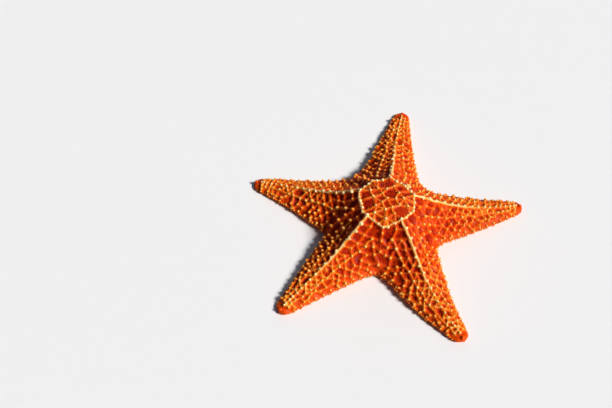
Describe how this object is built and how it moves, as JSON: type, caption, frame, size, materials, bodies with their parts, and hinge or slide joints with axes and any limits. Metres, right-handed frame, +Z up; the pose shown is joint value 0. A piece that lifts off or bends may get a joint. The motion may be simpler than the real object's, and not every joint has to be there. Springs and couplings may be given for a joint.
{
  "type": "red cushion sea star",
  "caption": "Still, life-size model of a live cushion sea star lying flat: domed disc, tapering arms with raised crests, knobbly net of ridges, grooved underside.",
  "frame": {"origin": "middle of the footprint's bounding box, on the ground under the body", "axes": "+Z up out of the back of the animal; -Y towards the viewer; arm_1 points a little above +X and the others follow counterclockwise seen from above"},
  "size_m": [0.256, 0.2686, 0.0468],
  "materials": {
    "skin": "wet red-orange granular skin between raised ridges",
    "ridges": "cream to yellow-orange limy ridges, satin and slightly wet",
    "knobs": "blunt yellow knobs and spines, satin",
    "granules": "fine wet red-orange granules and skin gills",
    "underside": "paler tan-orange granular underside, damp",
    "tube_feet": "soft pale tube feet, wet",
    "eye_plate": "smooth red-orange end plate with a dark red eyespot",
    "sieve_plate": "pale orange limy plate with fine branching grooves",
    "mouth_skin": "soft pale skin round the mouth, wet"
  },
  "bodies": {
    "root": {"disc": "skin", "arm_1": "skin", "arm_2": "skin", "arm_3": "skin", "arm_4": "skin", "arm_5": "skin", "tip_1": "eye_plate", "tip_2": "eye_plate", "tip_3": "eye_plate", "tip_4": "eye_plate", "tip_5": "eye_plate", "sieve_plate": "sieve_plate", "mouth": "mouth_skin"}
  },
  "joints": []
}
